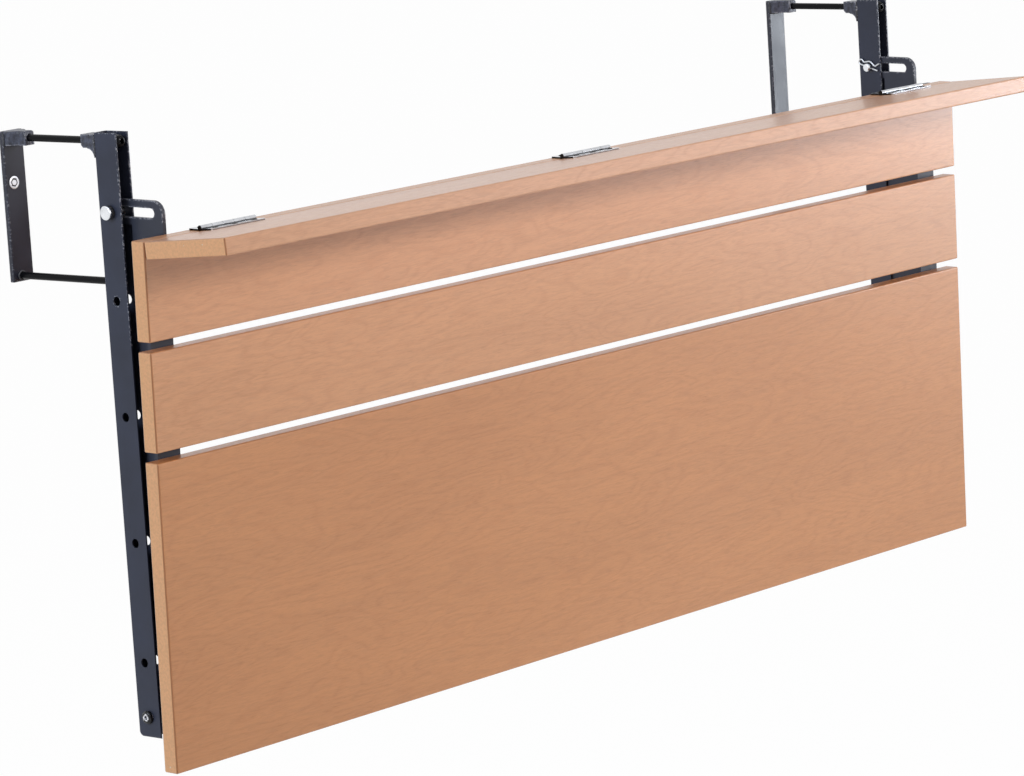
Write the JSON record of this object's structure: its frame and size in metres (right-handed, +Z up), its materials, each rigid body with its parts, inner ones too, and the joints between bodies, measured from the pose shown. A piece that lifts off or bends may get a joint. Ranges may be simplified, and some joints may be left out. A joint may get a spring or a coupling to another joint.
{
  "type": "balcony railing bar table",
  "caption": "Folding wooden bar table on steel brackets that clamp over a balcony railing, with a hinged shelf",
  "frame": {"origin": "at mid-length, on the back face of the bracket channels where the handrail bears, midway in height between clamp screws and guide rods, level with the pivot pins", "axes": "+X along the table to the right as seen by the person at the table, +Y over the railing to the outside, +Z up"},
  "size_m": [1.2, 0.3042, 0.5702],
  "materials": {
    "beech": "oiled, fine pores",
    "black_steel": "black powder coat, satin",
    "black_rod": "black, half gloss",
    "zinc": "bright zinc plate",
    "bright_hinge": "bright nickel plate",
    "black_plastic": "matt"
  },
  "bodies": {
    "brackets": {"left_channel": "black_steel", "left_screw_boss": "black_steel", "left_foot_bolt": "black_rod", "left_foot_sleeve": "black_plastic", "left_foot_nut": "black_rod", "right_channel": "black_steel", "right_screw_boss": "black_steel", "right_foot_bolt": "black_rod", "right_foot_sleeve": "black_plastic", "right_foot_nut": "black_rod"},
    "table": {"slat_top": "beech", "slat_middle": "beech", "board_lower": "beech", "left_rail": "black_steel", "left_rail_ear": "black_steel", "left_rail_screws": "black_rod", "right_rail": "black_steel", "right_rail_ear": "black_steel", "right_rail_screws": "black_rod", "left_slat_hinge_leaf": "bright_hinge", "left_hinge_pin": "bright_hinge", "middle_slat_hinge_leaf": "bright_hinge", "middle_hinge_pin": "bright_hinge", "right_slat_hinge_leaf": "bright_hinge", "right_hinge_pin": "bright_hinge", "slat_hinge_screws": "bright_hinge"},
    "shelf": {"shelf_board": "beech", "left_shelf_hinge_leaf": "bright_hinge", "middle_shelf_hinge_leaf": "bright_hinge", "right_shelf_hinge_leaf": "bright_hinge", "shelf_hinge_screws": "bright_hinge"},
    "left_clamp": {"left_clamp_bar": "black_steel", "left_clamp_block": "black_steel", "left_guide_rod": "black_rod", "left_jaw_screw": "zinc"},
    "right_clamp": {"right_clamp_bar": "black_steel", "right_clamp_block": "black_steel", "right_guide_rod": "black_rod"},
    "left_screw": {"left_clamp_screw": "black_rod"},
    "right_screw": {"right_clamp_screw": "black_rod"},
    "left_pin": {"left_pivot_pin": "zinc", "left_pin_washer": "black_plastic", "left_pin_clip": "zinc"},
    "right_pin": {"right_pivot_pin": "zinc", "right_pin_washer": "black_plastic", "right_pin_clip": "zinc"}
  },
  "joints": [
    {"name": "table_swing", "type": "hinge", "parent": "brackets", "child": "table", "pos_m": [0, -0.014, 0], "axis": [-1, 0, 0], "range_deg": [0, 91]},
    {"name": "shelf_fold", "type": "hinge", "parent": "table", "child": "shelf", "pos_m": [0, -0.08572, -0.01675], "axis": [-1, 0, 0], "range_deg": [-5, 84]},
    {"name": "left_clamp_slide", "type": "slide", "parent": "brackets", "child": "left_clamp", "axis": [0, 1, 0], "range_m": [-0.053, 0.007]},
    {"name": "left_screw_turn", "type": "hinge", "parent": "left_clamp", "child": "left_screw", "pos_m": [-0.561, 0.042, 0.063], "axis": [0, 1, 0], "range_deg": [-15264, 2016]},
    {"name": "right_clamp_slide", "type": "slide", "parent": "brackets", "child": "right_clamp", "axis": [0, 1, 0], "range_m": [-0.053, 0.007]},
    {"name": "right_screw_turn", "type": "hinge", "parent": "right_clamp", "child": "right_screw", "pos_m": [0.561, 0.042, 0.063], "axis": [0, 1, 0], "range_deg": [-15264, 2016]},
    {"name": "left_pin_turn", "type": "hinge", "parent": "brackets", "child": "left_pin", "pos_m": [-0.561, -0.014, 0], "axis": [1, 0, 0], "continuous": true},
    {"name": "right_pin_turn", "type": "hinge", "parent": "brackets", "child": "right_pin", "pos_m": [0.561, -0.014, 0], "axis": [1, 0, 0], "continuous": true}
  ],
  "couplings": [
    {"joint": "left_screw_turn", "follows": "left_clamp_slide", "rad_per_m": 5026.5},
    {"joint": "right_screw_turn", "follows": "right_clamp_slide", "rad_per_m": 5026.5}
  ]
}
